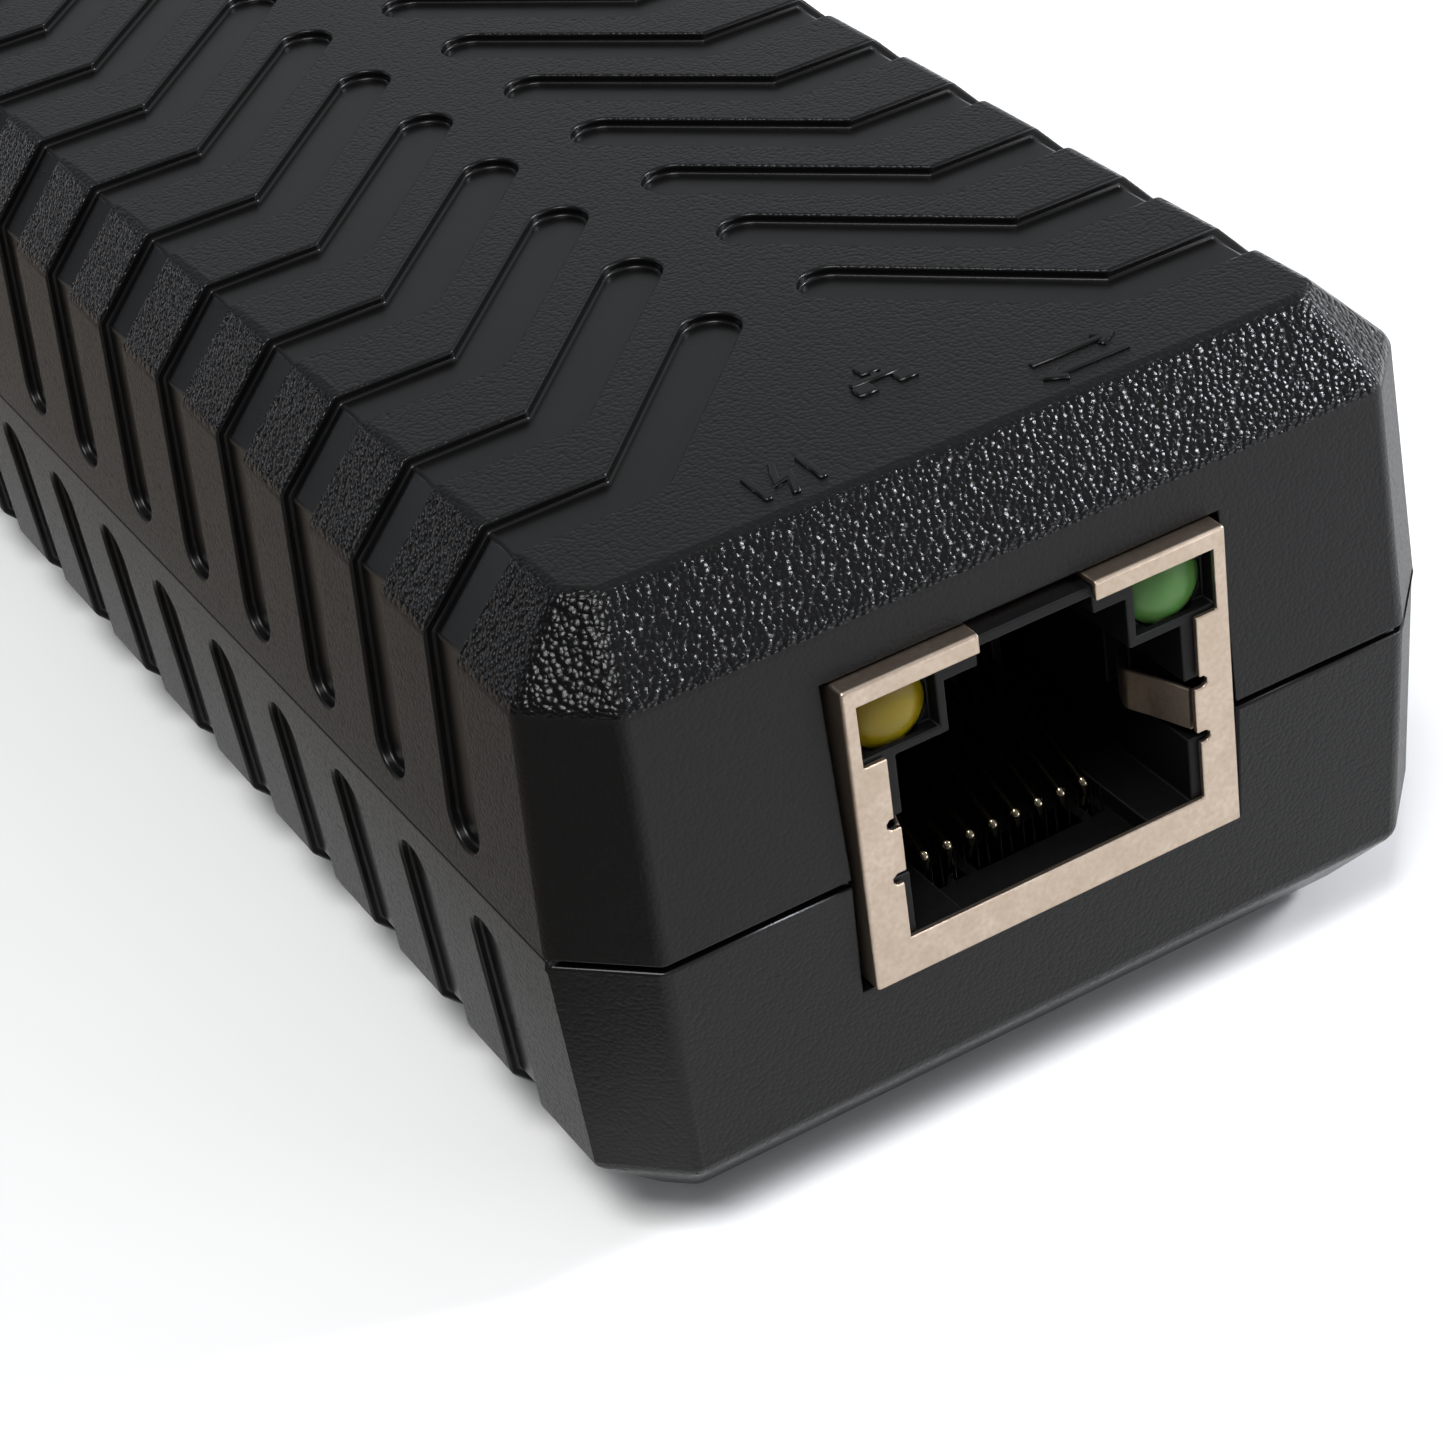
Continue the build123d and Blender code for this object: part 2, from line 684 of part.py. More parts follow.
def make_board():
    half, long = board_half(), case_length / 2 - wall - board_end_gap
    board = block(-half, half, -long, long, board_low, board_top)
    board = chamfer(board.edges().filter_by(Axis.Z), 2.6)
    for x, y in post_places():
        side = 1 if x > 0 else -1
        board -= rod(x, y, board_low - 1, board_top + 1, post_radius + 0.4)
        spread = sorted((x, side * (half + 1)))
        board -= block(*spread, y - post_radius - 0.4, y + post_radius + 0.4, board_low - 1, board_top + 1)
    holes = board_holes(out_jack_place, True) + board_holes(in_jack_place, False) + dc_board_holes(dc_place)
    holes += [Pos(*hole) * Cylinder(0.5, 6) for hole in lead_holes()]
    return board - Compound(children=holes)


def lead_holes():
    """Places of the drilled holes for the cans and the choke."""
    holes = [(x, y + s * 2.5, board_low) for x, y in can_places for s in (-1, 1)]
    x, y = choke_place
    return holes + [(x + sx * 3.0, y + sy * 2.0, board_low) for sx in (-1, 1) for sy in (-1, 1)]


def make_cans():
    """Capacitor cans with a crimp groove and a bevelled lid."""
    cans = []
    for x, y in can_places:
        can = rod(x, y, board_top + 0.3, board_top + can_tall, can_radius - can_sleeve)
        can = fillet(can.edges().sort_by(Axis.Z)[-1], 0.5)
        ring = Pos(x, y, board_top + 2.0) * Torus(can_radius - can_sleeve + 0.1, 0.45)
        cans.append(can - ring)
    return Compound(children=cans)


def make_sleeves():
    sleeves = []
    for x, y in can_places:
        sleeve = rod(x, y, board_top + 0.1, board_top + can_tall - 0.9, can_radius)
        sleeves.append(sleeve - rod(x, y, board_top - 1, board_top + can_tall, can_radius - can_sleeve))
    return Compound(children=sleeves)


def make_can_leads():
    places = [(x, y + side * 2.5) for x, y in can_places for side in (-1, 1)]
    return Compound(children=[rod(x, y, board_low - 1.2, board_top + 0.28, 0.3) for x, y in places])


def make_choke():
    """Ring core that stands on its leads, and the copper turns round it."""
    x, y = choke_place
    core = Pos(x, y, board_top + 5.4) * Rot(90, 0, 0) * (Cylinder(4.6, 3.6) - Cylinder(2.3, 5))
    core = fillet(core.edges().filter_by(GeomType.CIRCLE), 0.4)
    return core


def make_choke_turns():
    x, y = choke_place
    turns = []
    for side in (0, 180):
        for i in range(7):
            angle = side - 54 + 18 * i
            ring = Rectangle(3.5, 5.0) - Rectangle(2.5, 4.0)
            loop = fillet(extrude(ring, 0.5).edges().filter_by(Axis.Z), 0.2)
            loop = Pos(0, 0, -0.25) * loop
            turns.append(Pos(x, y, board_top + 5.4) * Rot(0, angle, 0) * Pos(3.45, 0, 0) * loop)
    for sx in (-1, 1):
        for sy in (-1, 1):
            turns.append(rod(x + sx * 3.0, y + sy * 2.0, board_low - 1.2, board_top + 1.2, 0.25))
    return Compound(children=turns)


# ---- placing and writing every node ----
out_jack_place = Pos(0, front - jack_proud, board_top)
in_jack_place = Pos(in_jack_x, back + jack_proud, board_top) * Rot(0, 0, 180)
dc_place = Pos(dc_jack_x, back - dc_face_in, board_top) * Rot(0, 0, 180)

save("top_shell", make_top_shell())
save("bottom_shell", make_bottom_shell())

screw = Cylinder(screw_radius, screw_long, align=(Align.CENTER, Align.CENTER, Align.MIN))
head = Pos(0, 0, -screw_head_tall) * Cylinder(screw_head_radius, screw_head_tall,
                                              align=(Align.CENTER, Align.CENTER, Align.MIN))
head = fillet(head.edges().sort_by(Axis.Z)[0], 0.5)
cross = Pos(0, 0, -screw_head_tall) * (Box(2.4, 0.5, 1.6) + Box(0.5, 2.4, 1.6))
screw = screw + head - cross
save("case_screws", Compound(children=[Pos(x, y, screw_seat()) * screw for x, y in post_places()]))

foot = Cylinder(foot_radius, foot_stand + foot_recess, align=(Align.CENTER, Align.CENTER, Align.MIN))
foot = fillet(foot.edges().sort_by(Axis.Z)[0], 0.35)
save("rubber_feet", Compound(children=[Pos(x, y, 0) * foot for x, y in foot_places()]))
label = block(-label_wide / 2 + label_gap, label_wide / 2 - label_gap, -label_long / 2 + label_gap,
              label_long / 2 - label_gap, underside + label_recess - label_thick, underside + label_recess)
save("rating_label", Pos(0, label_middle(), 0) * fillet(label.edges().filter_by(Axis.Z), 1.2))
save("circuit_board", make_board())

for name, place, lamps in (("out_jack", out_jack_place, True), ("in_jack", in_jack_place, False)):
    save(f"{name}_shield", place * jack_shield(lamps))
    save(f"{name}_insulator", place * jack_insulator(lamps))
    save(f"{name}_contact_springs", place * contact_springs())
    save(f"{name}_contact_tails", place * contact_tails())
    save(f"{name}_finger_right", place * ground_finger())
    save(f"{name}_finger_left", place * mirrored(ground_finger()))
save("out_led_yellow", out_jack_place * led_lamp(-1))
save("out_led_green", out_jack_place * led_lamp(1))
save("out_led_leads", out_jack_place * Compound(children=led_leads(-1) + led_leads(1)))

save("dc_jack_body", dc_place * dc_body())
save("dc_jack_pin", dc_place * dc_pin())
save("dc_jack_leaf", dc_place * dc_leaf())
save("dc_jack_terminals", dc_place * dc_terminals())

magnet_length, magnet_width, magnet_high = 15.0, 9.6, 5.6
magnets = [on_board(x, y) * molded_body(magnet_length, magnet_width, 0.3, magnet_high)
           for x, y in magnet_places]
magnet_leads = [on_board(x, y) * lead for x, y in magnet_places
                for lead in gull_leads(12, 1.2, magnet_width / 2, 1.7)]
save("line_transformers", Compound(children=magnets))
save("line_transformer_leads", Compound(children=magnet_leads))

save("bulk_capacitors", make_cans())
save("capacitor_sleeves", make_sleeves())
save("capacitor_leads", make_can_leads())
save("choke_core", make_choke())
save("choke_windings", make_choke_turns())

chip = on_board(*chip_place) * molded_body(8.6, 3.9, 0.15, 1.75)
save("power_controller", chip)
save("power_controller_leads", on_board(*chip_place) * Compound(children=gull_leads(8, 1.0, 1.95, 1.05)))
sense = [(-6.0, 0), (-6.0, 2.4), (-6.0, -2.4), (-6.0, 4.8), (-3.4, 4.8)]
save("chip_resistors", Compound(children=[on_board(chip_place[0] + dx, chip_place[1] + dy)
                                          * chip_box(2.0, 1.25, 0.55) for dx, dy in sense]))
filters = [(-3.6 + 2.4 * i, 4.4) for i in range(4)]
save("ceramic_capacitors", Compound(children=[on_board(chip_place[0] + dx, chip_place[1] - dy)
                                              * chip_box(1.25, 2.0, 1.1) for dx, dy in filters]))
save("surge_diode", on_board(-11.2, bay_front + 32.15) * molded_body(4.4, 3.6, 0.05, 2.3))
save("switch_transistor", on_board(11.4, bay_front + 31.15) * molded_body(6.1, 6.6, 0.05, 2.3))
save("input_fuse", on_board(-11.4, bay_front + 23.65) * chip_box(3.2, 6.1, 2.6))
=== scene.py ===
import math
import bmesh
import bpy
import numpy as np
from mathutils import Euler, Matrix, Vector


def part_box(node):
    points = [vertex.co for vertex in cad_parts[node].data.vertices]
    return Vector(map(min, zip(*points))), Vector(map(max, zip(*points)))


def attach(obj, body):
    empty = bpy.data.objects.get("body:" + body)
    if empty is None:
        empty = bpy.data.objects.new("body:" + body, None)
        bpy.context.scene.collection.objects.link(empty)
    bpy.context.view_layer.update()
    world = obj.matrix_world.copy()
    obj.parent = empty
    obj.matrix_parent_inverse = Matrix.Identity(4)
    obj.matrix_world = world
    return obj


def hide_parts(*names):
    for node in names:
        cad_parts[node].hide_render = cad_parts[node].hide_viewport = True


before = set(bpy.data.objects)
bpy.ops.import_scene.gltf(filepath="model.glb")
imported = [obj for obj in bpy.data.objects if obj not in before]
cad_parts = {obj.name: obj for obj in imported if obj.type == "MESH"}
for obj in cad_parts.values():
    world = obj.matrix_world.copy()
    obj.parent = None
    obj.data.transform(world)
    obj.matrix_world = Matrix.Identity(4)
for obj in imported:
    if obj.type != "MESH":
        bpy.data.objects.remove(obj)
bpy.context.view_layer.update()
mm = 0.001
print("frame loaded with", len(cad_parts), "nodes")


# an sRGB hex colour as the linear values that a shader takes
def linear(hexColour):
    parts = [int(hexColour[i:i + 2], 16) / 255 for i in (1, 3, 5)]
    return [v / 12.92 if v <= 0.04045 else ((v + 0.055) / 1.055) ** 2.4 for v in parts] + [1.0]


def addNode(tree, kind, inputs=None, **settings):
    # one node with its settings; an input is given a value, or a socket to link from
    node = tree.nodes.new(kind)
    for name, value in settings.items():
        setattr(node, name, value)
    for name, value in (inputs or {}).items():
        if isinstance(value, bpy.types.NodeSocket):
            tree.links.new(value, node.inputs[name])
        else:
            node.inputs[name].default_value = value
    return node


def newMaterial(name, **values):
    # a Principled material; values are sockets of the shader with their own constants
    material = bpy.data.materials.new(name)
    material.use_nodes = True
    tree = material.node_tree
    tree.nodes.clear()
    shader = addNode(tree, "ShaderNodeBsdfPrincipled")
    for key, value in values.items():
        shader.inputs[key.replace("_", " ")].default_value = value
    addNode(tree, "ShaderNodeOutputMaterial", {"Surface": shader.outputs["BSDF"]})
    place = addNode(tree, "ShaderNodeTexCoord").outputs["Object"]
    return material, tree, shader, place


# the grain's tone, gloss and height reach the shader's own colour, roughness and normal
def dress(tree, shader, tone, gloss, bump=None):
    tree.links.new(tone.outputs["Result"], shader.inputs["Base Color"])
    tree.links.new(gloss.outputs["Result"], shader.inputs["Roughness"])
    if bump:
        tree.links.new(bump.outputs["Normal"], shader.inputs["Normal"])


def meshObject(name, verts, faces):
    mesh = bpy.data.meshes.new(name)
    mesh.from_pydata(verts, [], faces)
    mesh.update()
    piece = bpy.data.objects.new(name, mesh)
    bpy.context.scene.collection.objects.link(piece)
    return piece


def finish(piece, body, nodes, materials, smooth=30):
    # smooth shading up to an angle, materials, the body the piece rides on, and the nodes it replaces hidden
    piece.data.polygons.foreach_set("use_smooth", [True] * len(piece.data.polygons))
    piece.data.set_sharp_from_angle(angle=math.radians(smooth))
    for material in materials:
        piece.data.materials.append(material)
    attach(piece, body)
    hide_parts(*nodes)


# moulded ABS with a spark-eroded tool finish: rounded pebbles about a quarter of a millimetre
# across, each turning one small glint towards the light, over a deep neutral black; it is
# deepest on the slanting faces, shallower on the level ones, and fine and matt on the upright
# walls, which slide along the tool as it opens
erodedAbs = {"colour": "#070707", "lighter": "#0b0b0c", "specular": 0.21,
             "coarse": {"pebble": 0.25, "swell": 0.30, "depth": 0.060, "rough": (0.14, 0.23)},
             "medium": {"pebble": 0.20, "swell": 0.24, "depth": 0.028, "rough": (0.26, 0.38)},
             "fine": {"pebble": 0.17, "swell": 0.60, "depth": 0.014, "rough": (0.36, 0.48)},
             "swellShare": 0.45}


def sparkErodedAbs(name, grain):
    material, tree, shader, place = newMaterial(name, Specular_IOR_Level=erodedAbs["specular"])
    pebbles = addNode(tree, "ShaderNodeTexVoronoi", {"Vector": place, "Scale": 1 / (grain["pebble"] * mm),
                      "Randomness": 1.0}, feature="F1")
    swell = addNode(tree, "ShaderNodeTexNoise", {"Vector": place, "Scale": 1 / (grain["swell"] * mm),
                    "Detail": 4.0, "Roughness": 0.65})
    dome = addNode(tree, "ShaderNodeMath", {0: pebbles.outputs["Distance"], 1: pebbles.outputs["Distance"]},
                   operation="MULTIPLY")      # a pebble falls away as the square of the distance
    rise = addNode(tree, "ShaderNodeMath", {0: swell.outputs["Fac"], 1: erodedAbs["swellShare"]},
                   operation="MULTIPLY")
    height = addNode(tree, "ShaderNodeMath", {0: rise.outputs[0], 1: dome.outputs[0]}, operation="SUBTRACT")
    bump = addNode(tree, "ShaderNodeBump", {"Strength": 1.0, "Distance": grain["depth"] * mm,
                   "Height": height.outputs[0]})
    tone = addNode(tree, "ShaderNodeMix", {"Factor": swell.outputs["Fac"], "A": linear(erodedAbs["colour"]),
                   "B": linear(erodedAbs["lighter"])}, data_type="RGBA")
    low, high = grain["rough"]
    gloss = addNode(tree, "ShaderNodeMapRange", {"Value": pebbles.outputs["Distance"], "To Min": low,
                    "To Max": high})
    dress(tree, shader, tone, gloss, bump)
    return material


# the same ABS where the tool was polished: channel floors and walls, nearly smooth,
# with only the flow of the melt left in the gloss
channelAbs = {"colour": "#070707", "lighter": "#0b0b0b", "specular": 0.22, "flow": 1.6, "fine": 0.16,
              "depth": 0.004, "rough": (0.24, 0.34)}


def polishedAbs():
    material, tree, shader, place = newMaterial("polishedAbs", Specular_IOR_Level=channelAbs["specular"])
    flow = addNode(tree, "ShaderNodeTexNoise", {"Vector": place, "Scale": 1 / (channelAbs["flow"] * mm),
                   "Detail": 5.0})
    fine = addNode(tree, "ShaderNodeTexNoise", {"Vector": place, "Scale": 1 / (channelAbs["fine"] * mm),
                   "Detail": 2.0})
    bump = addNode(tree, "ShaderNodeBump", {"Strength": 0.6, "Distance": channelAbs["depth"] * mm,
                   "Height": fine.outputs["Fac"]})
    low, high = channelAbs["rough"]
    gloss = addNode(tree, "ShaderNodeMapRange", {"Value": flow.outputs["Fac"], "To Min": low, "To Max": high})
    tone = addNode(tree, "ShaderNodeMix", {"Factor": flow.outputs["Fac"], "A": linear(channelAbs["colour"]),
                   "B": linear(channelAbs["lighter"])}, data_type="RGBA")
    dress(tree, shader, tone, gloss, bump)
    return material


# nickel-plated brass sheet: warm pale grey, rolled, so faint lines run along the strip
def nickelSheet():
    material, tree, shader, place = newMaterial("nickelPlatedBrass", Metallic=1.0)
    turn = addNode(tree, "ShaderNodeMapping", {"Vector": place, "Rotation": (0.0, math.radians(35), 0.0),
                   "Scale": (1.0, 1.0, 0.06)})
    lines = addNode(tree, "ShaderNodeTexNoise", {"Vector": turn.outputs["Vector"],
                    "Scale": 1 / (0.10 * mm), "Detail": 4.0, "Roughness": 0.7})
    clouds = addNode(tree, "ShaderNodeTexNoise", {"Vector": place, "Scale": 1 / (1.3 * mm), "Detail": 6.0})
    mottle = addNode(tree, "ShaderNodeTexNoise", {"Vector": place, "Scale": 1 / (0.22 * mm), "Detail": 3.0})
    patch = addNode(tree, "ShaderNodeMath", {0: clouds.outputs["Fac"], 1: mottle.outputs["Fac"]},
                    operation="MULTIPLY")
    tone = addNode(tree, "ShaderNodeMix", {"Factor": patch.outputs[0], "A": linear("#a2917f"),
                   "B": linear("#d3c5b9")}, data_type="RGBA")
    gloss = addNode(tree, "ShaderNodeMapRange", {"Value": lines.outputs["Fac"], "To Min": 0.30,
                    "To Max": 0.46})
    bump = addNode(tree, "ShaderNodeBump", {"Strength": 0.5, "Distance": 0.003 * mm,
                   "Height": lines.outputs["Fac"]})
    dress(tree, shader, tone, gloss, bump)
    return material


# glass-filled polyamide, moulded: black, satin, with a dry fibre grain
def filledPolyamide():
    material, tree, shader, place = newMaterial("glassFilledPolyamide", Specular_IOR_Level=0.16)
    grain = addNode(tree, "ShaderNodeTexNoise", {"Vector": place, "Scale": 1 / (0.22 * mm), "Detail": 4.0})
    gloss = addNode(tree, "ShaderNodeMapRange", {"Value": grain.outputs["Fac"], "To Min": 0.42,
                    "To Max": 0.60})
    bump = addNode(tree, "ShaderNodeBump", {"Strength": 0.7, "Distance": 0.006 * mm,
                   "Height": grain.outputs["Fac"]})
    tone = addNode(tree, "ShaderNodeMix", {"Factor": grain.outputs["Fac"], "A": linear("#050505"),
                   "B": linear("#0a0a0b")}, data_type="RGBA")
    dress(tree, shader, tone, gloss, bump)
    return material


# plain metals, plastics and coatings: two tones, a grain of a real size and a gloss range
plainKinds = {
    "goldFlashedBronze": ("#857a68", "#a0957f", 0.30, (0.11, 0.19), 0.001, 1.0),  # drawn wire, thin plating
    "tinnedCopper": ("#b9b8b2", "#d2d1cc", 0.35, (0.24, 0.40), 0.004, 1.0),       # dipped, soft lustre
    "zincPlatedSteel": ("#a9a7a2", "#c4c2bd", 0.25, (0.26, 0.42), 0.004, 1.0),    # tumbled and plated
    "drawnAluminium": ("#c2c4c7", "#d8dadd", 0.30, (0.22, 0.34), 0.002, 1.0),     # deep-drawn can
    "enamelledCopper": ("#7c3413", "#9c4a1e", 0.40, (0.20, 0.30), 0.003, 0.8),    # varnished wire
    "blackRubber": ("#141414", "#1d1d1d", 0.35, (0.72, 0.88), 0.015, 0.0),        # moulded nitrile, matt
    "silverPolyester": ("#8d9093", "#9ca0a3", 0.50, (0.34, 0.44), 0.002, 0.3),    # printed film, no print
    "mouldedEpoxy": ("#161616", "#202020", 0.12, (0.55, 0.70), 0.006, 0.0),       # chip body, matt
    "shrunkSleeve": ("#0c1020", "#12182b", 0.80, (0.22, 0.32), 0.004, 0.0),       # heat-shrunk film
    "sinteredFerrite": ("#2c2c2d", "#3a3a3b", 0.20, (0.55, 0.75), 0.012, 0.0),    # pressed and fired
    "tanCeramic": ("#8a6c48", "#a2835b", 0.25, (0.40, 0.55), 0.006, 0.0),         # fired capacitor body
    "whiteCeramic": ("#c9c6bc", "#dcd9d0", 0.25, (0.35, 0.50), 0.006, 0.0),       # fuse body
    "solderMask": ("#0b3a1c", "#105026", 1.10, (0.20, 0.32), 0.006, 0.0),         # green lacquer on the board
}


def plainMaterial(name):
    dark, light, grain, rough, depth, metallic = plainKinds[name]
    material, tree, shader, place = newMaterial(name, Metallic=metallic)
    noise = addNode(tree, "ShaderNodeTexNoise", {"Vector": place, "Scale": 1 / (grain * mm), "Detail": 4.0,
                    "Roughness": 0.6})
    tone = addNode(tree, "ShaderNodeMix", {"Factor": noise.outputs["Fac"], "A": linear(dark),
                   "B": linear(light)}, data_type="RGBA")
    gloss = addNode(tree, "ShaderNodeMapRange", {"Value": noise.outputs["Fac"], "To Min": rough[0],
                    "To Max": rough[1]})
    bump = addNode(tree, "ShaderNodeBump", {"Strength": 0.8, "Distance": depth * mm,
                   "Height": noise.outputs["Fac"]})
    dress(tree, shader, tone, gloss, bump)
    return material


# diffused lamp epoxy: tinted and milky, so light soaks into it under a glossy skin
def lampEpoxy(name, tint, milk):
    material, tree, shader, place = newMaterial(name, IOR=1.53, Subsurface_Weight=0.55,
                                                Subsurface_Scale=0.9 * mm, Transmission_Weight=0.25,
                                                Specular_IOR_Level=0.1)
    haze = addNode(tree, "ShaderNodeTexNoise", {"Vector": place, "Scale": 1 / (1.4 * mm), "Detail": 2.0})
    tone = addNode(tree, "ShaderNodeMix", {"Factor": haze.outputs["Fac"], "A": linear(tint),
                   "B": linear(milk)}, data_type="RGBA")
    gloss = addNode(tree, "ShaderNodeMapRange", {"Value": haze.outputs["Fac"], "To Min": 0.28,
                    "To Max": 0.38})
    dress(tree, shader, tone, gloss)
    return material


texturedAbs = sparkErodedAbs("coarseErodedAbs", erodedAbs["coarse"])
levelAbs = sparkErodedAbs("mediumErodedAbs", erodedAbs["medium"])
satinAbs = sparkErodedAbs("fineErodedAbs", erodedAbs["fine"])
smoothAbs = polishedAbs()
nickel, polyamide = nickelSheet(), filledPolyamide()
plain = {name: plainMaterial(name) for name in plainKinds}
yellowEpoxy = lampEpoxy("yellowLampEpoxy", "#746300", "#7e6d06")
greenEpoxy = lampEpoxy("greenLampEpoxy", "#3d6930", "#567f40")
print("materials made")


# case shells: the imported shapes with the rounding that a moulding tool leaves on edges
shell = {"edge": 0.30, "channelEdge": 0.11, "skinDepth": 0.16, "channelDepth": 0.62, "angle": 20,
         "markTall": 0.12, "markEdge": 0.07, "shortEdge": 0.6, "upright": 0.2, "level": 0.95,
         "sliverTurn": 10}


def mergedCopy(pieceName, node):
    # the node's triangles as one joined mesh with flat faces made whole again
    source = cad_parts[node].data
    places = np.empty(len(source.vertices) * 3)
    source.vertices.foreach_get("co", places)
    corners = np.empty(len(source.loops), int)
    source.loops.foreach_get("vertex_index", corners)
    piece = meshObject(pieceName, places.reshape(-1, 3).tolist(), corners.reshape(-1, 3).tolist())
    made = bmesh.new()
    made.from_mesh(piece.data)
    bmesh.ops.remove_doubles(made, verts=made.verts, dist=0.001 * mm)
    bmesh.ops.dissolve_degenerate(made, edges=made.edges, dist=0.0005 * mm)
    bmesh.ops.dissolve_limit(made, angle_limit=math.radians(0.4), verts=made.verts, edges=made.edges)
    made.to_mesh(piece.data)
    made.free()
    return piece


# rounds a piece's edges, and lets the large faces keep their flat shading
def roundEdges(piece, width, segments, limit):
    bevel = piece.modifiers.new("roundedEdges", "BEVEL")
    bevel.width = width * mm
    bevel.segments = segments
    bevel.limit_method = limit
    bevel.angle_limit = math.radians(35)
    bevel.use_clamp_overlap = False
    shading = piece.modifiers.new("flatFacesStayFlat", "WEIGHTED_NORMAL")
    shading.mode = "FACE_AREA"
    shading.weight = 100
    shading.keep_sharp = True


def depthUnderHull(piece):
    # depth of each face's centre under the flat planes that wrap the whole piece
    mesh = piece.data
    verts = np.empty(len(mesh.vertices) * 3)
    mesh.vertices.foreach_get("co", verts)
    normals, centres = np.empty(len(mesh.polygons) * 3), np.empty(len(mesh.polygons) * 3)
    mesh.polygons.foreach_get("normal", normals)
    mesh.polygons.foreach_get("center", centres)
    verts, normals, centres = verts.reshape(-1, 3), normals.reshape(-1, 3), centres.reshape(-1, 3)
    planes = np.unique(np.round(normals, 3), axis=0)
    planes = planes / np.linalg.norm(planes, axis=1, keepdims=True).clip(1e-6)
    reach = (verts @ planes.T).max(axis=0)
    return (reach[None, :] - centres @ planes.T).min(axis=1) / mm


# true where a very short edge leaves one end of this edge in nearly the same direction:
# a bevel would slide along it without end
def runsBesideSliver(edge):
    for vert in edge.verts:
        along = edge.other_vert(vert).co - vert.co
        for other in vert.link_edges:
            if other is not edge and other.calc_length() < shell["shortEdge"] * mm:
                if along.angle(other.other_vert(vert).co - vert.co, 1.0) < math.radians(shell["sliverTurn"]):
                    return True
    return False


def caseShell(pieceName, node):
    piece = mergedCopy(pieceName, node)
    depth = depthUnderHull(piece)
    mesh = piece.data
    skin = depth < shell["skinDepth"]
    normals = np.empty(len(mesh.polygons) * 3)
    mesh.polygons.foreach_get("normal", normals)
    facing = np.abs(normals[2::3])      # 0 on an upright wall, 1 on a level face
    grain = np.where(facing < shell["upright"], 2, np.where(facing > shell["level"], 3, 0))
    mesh.polygons.foreach_set("material_index", np.where(skin, grain, 1).astype(np.int32))
    made = bmesh.new()
    made.from_mesh(mesh)
    weights = made.edges.layers.float.new("bevel_weight_edge")
    limit = math.radians(shell["angle"])
    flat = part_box("top_shell")[1].z - shell["markTall"] * mm / 2    # above this only the raised marks
    raised = [any(vert.co.z > flat for vert in face.verts) for face in made.faces]
    for face in made.faces:
        if raised[face.index]:
            face.material_index = 1
    for edge in made.edges:
        if len(edge.link_faces) != 2 or edge.calc_face_angle(0.0) < limit:
            continue
        near, far = sorted(depth[face.index] for face in edge.link_faces)
        if any(raised[face.index] for face in edge.link_faces):
            if all(vert.co.z > flat for vert in edge.verts):
                edge[weights] = shell["markEdge"] / shell["edge"]
            continue
        if far < shell["skinDepth"]:
            edge[weights] = 0.0 if runsBesideSliver(edge) else 1.0
        elif near < shell["channelDepth"]:
            edge[weights] = shell["channelEdge"] / shell["edge"]
    made.to_mesh(mesh)
    made.free()
    finish(piece, "injector", [node], [texturedAbs, smoothAbs, satinAbs, levelAbs])
    roundEdges(piece, shell["edge"], 3, "WEIGHT")


caseShell("topShell", "top_shell")
caseShell("bottomShell", "bottom_shell")
print("case shells made")


# folded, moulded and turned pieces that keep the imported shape, with their edges broken
edgeBreaks = {
    "out_jack_shield": (0.05, "nickel_sheet", nickel), "in_jack_shield": (0.05, "nickel_sheet", nickel),
    "out_jack_insulator": (0.07, "black_insulator", polyamide),
    "in_jack_insulator": (0.07, "black_insulator", polyamide),
    "dc_jack_body": (0.10, "black_insulator", polyamide),
    "dc_jack_terminals": (0.04, "tin_lead", plain["tinnedCopper"]),
    "case_screws": (0.06, "zinc_steel", plain["zincPlatedSteel"]),
    "circuit_board": (0.04, "green_board", plain["solderMask"]),
    "line_transformers": (0.08, "black_epoxy", plain["mouldedEpoxy"]),
    "power_controller": (0.05, "black_epoxy", plain["mouldedEpoxy"]),
    "surge_diode": (0.06, "black_epoxy", plain["mouldedEpoxy"]),
    "switch_transistor": (0.06, "black_epoxy", plain["mouldedEpoxy"]),
    "input_fuse": (0.10, "white_ceramic", plain["whiteCeramic"]),
    "chip_resistors": (0.05, "black_epoxy", plain["mouldedEpoxy"]),
    "ceramic_capacitors": (0.06, "tan_ceramic", plain["tanCeramic"]),
    "rating_label": (0.02, "silver_label", plain["silverPolyester"]),
}
for node, (width, slotName, material) in edgeBreaks.items():
    piece = mergedCopy(node.replace("_", "") + "Finished", node)
    finish(piece, "injector", [node], [material])
    roundEdges(piece, width, 2, "ANGLE")
print("folded and moulded pieces made")


# straight runs joined by tangent arcs: each arc's points are its centre plus its radius
# times the unit vector towards evenly shared points of the arc's chord
def roundedPath(points, radii, steps=8):
    points = np.array(points, float)
    runs = [points[:1]]
    for before, corner, after, radius in zip(points, points[1:], points[2:], radii):
        inward, outward = before - corner, after - corner
        inward, outward = inward / np.linalg.norm(inward), outward / np.linalg.norm(outward)
        half = math.acos(np.clip(inward @ outward, -1, 1)) / 2
        middle = inward + outward
        centre = corner + middle / np.linalg.norm(middle) * radius / math.sin(half)
        start, end = corner + inward * radius / math.tan(half), corner + outward * radius / math.tan(half)
        share = np.linspace(0, 1, steps)[:, None]
        chord = (start - centre) * (1 - share) + (end - centre) * share
        runs.append(centre + chord / np.linalg.norm(chord, axis=1, keepdims=True) * radius)
    runs.append(points[-1:])
    return np.concatenate(runs)


